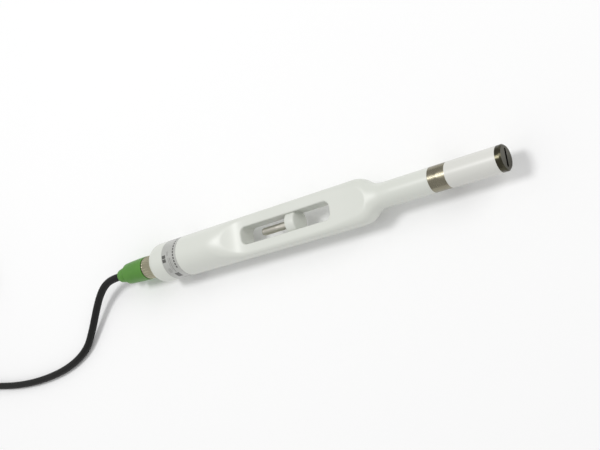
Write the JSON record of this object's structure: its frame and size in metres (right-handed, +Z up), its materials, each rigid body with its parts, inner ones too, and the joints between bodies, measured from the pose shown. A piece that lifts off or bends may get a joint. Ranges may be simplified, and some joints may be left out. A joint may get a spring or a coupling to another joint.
{
  "type": "water quality probe",
  "caption": "Slim white conductivity and temperature probe with a through-flow window, ring and end electrodes, and a screw-coupled plug with cable.",
  "frame": {"origin": "under the middle of the probe with its plug, on the surface that it lies on", "axes": "+X along the probe towards the electrode tip, +Z up, square to the flats of the middle"},
  "size_m": [0.5929, 0.0996, 0.025],
  "materials": {
    "housing_plastic": "glossy, slightly warm white",
    "sleeve_plastic": "satin white",
    "label_film": "silver grey printed film",
    "steel": "turned stainless steel",
    "end_steel": "dark turned stainless steel",
    "nickel": "nickel plated brass, knurled",
    "green_plastic": "moulded green polyurethane, satin",
    "cable_jacket": "matt black jacket",
    "insert_plastic": "black moulded plastic",
    "seal_rubber": "matt black rubber",
    "contact_brass": "gold plated",
    "board_laminate": "green circuit laminate",
    "component_plastic": "black epoxy",
    "wire_insulation": "red insulation",
    "tie_strap": "black hook and loop strap"
  },
  "bodies": {
    "probe": {"board_clips": "insert_plastic", "board_components": "component_plastic", "circuit_board": "board_laminate", "device_connector_seal": "seal_rubber", "device_connector_shell": "nickel", "device_contact_holder": "insert_plastic", "device_contact_pins": "contact_brass", "electrode_leads": "wire_insulation", "electrode_seals": "seal_rubber", "end_electrode": "end_steel", "label_band": "label_film", "main_body": "housing_plastic", "pin_holder": "housing_plastic", "rear_cap": "housing_plastic", "rear_cap_seal": "seal_rubber", "ring_electrode": "steel", "signal_wires": "wire_insulation", "temperature_element": "component_plastic", "temperature_leads": "wire_insulation", "temperature_pin": "steel", "tip_core": "insert_plastic", "tip_sleeve": "sleeve_plastic"},
    "plug": {"plug_contact_carrier": "insert_plastic", "plug_contact_sockets": "contact_brass", "plug_seal": "seal_rubber", "plug_body": "green_plastic", "cable_end_in_plug": "cable_jacket", "plug_wires": "wire_insulation", "cable_lead": "cable_jacket", "cable_tail": "cable_jacket", "cable_coil": "cable_jacket", "coil_tie": "tie_strap", "far_plug_body": "green_plastic", "far_plug_insert": "insert_plastic", "far_plug_pins": "contact_brass"},
    "coupling_nut": {"coupling_nut": "nickel"},
    "far_sleeve": {"far_plug_sleeve": "nickel"}
  },
  "joints": [
    {"name": "plug_slide", "type": "slide", "parent": "probe", "child": "plug", "axis": [-1, 0, 0], "range_m": [0, 0.005]},
    {"name": "nut_turn", "type": "hinge", "parent": "plug", "child": "coupling_nut", "pos_m": [-0.1108, 0, 0.0125], "axis": [-1, 0, 0], "range_deg": [0, 1801]},
    {"name": "far_sleeve_turn", "type": "hinge", "parent": "plug", "child": "far_sleeve", "pos_m": [-0.3335, 0.03216, 0.0076], "axis": [1, 0, 0], "continuous": true}
  ],
  "couplings": [
    {"joint": "nut_turn", "follows": "plug_slide", "rad_per_m": 6283.2}
  ]
}
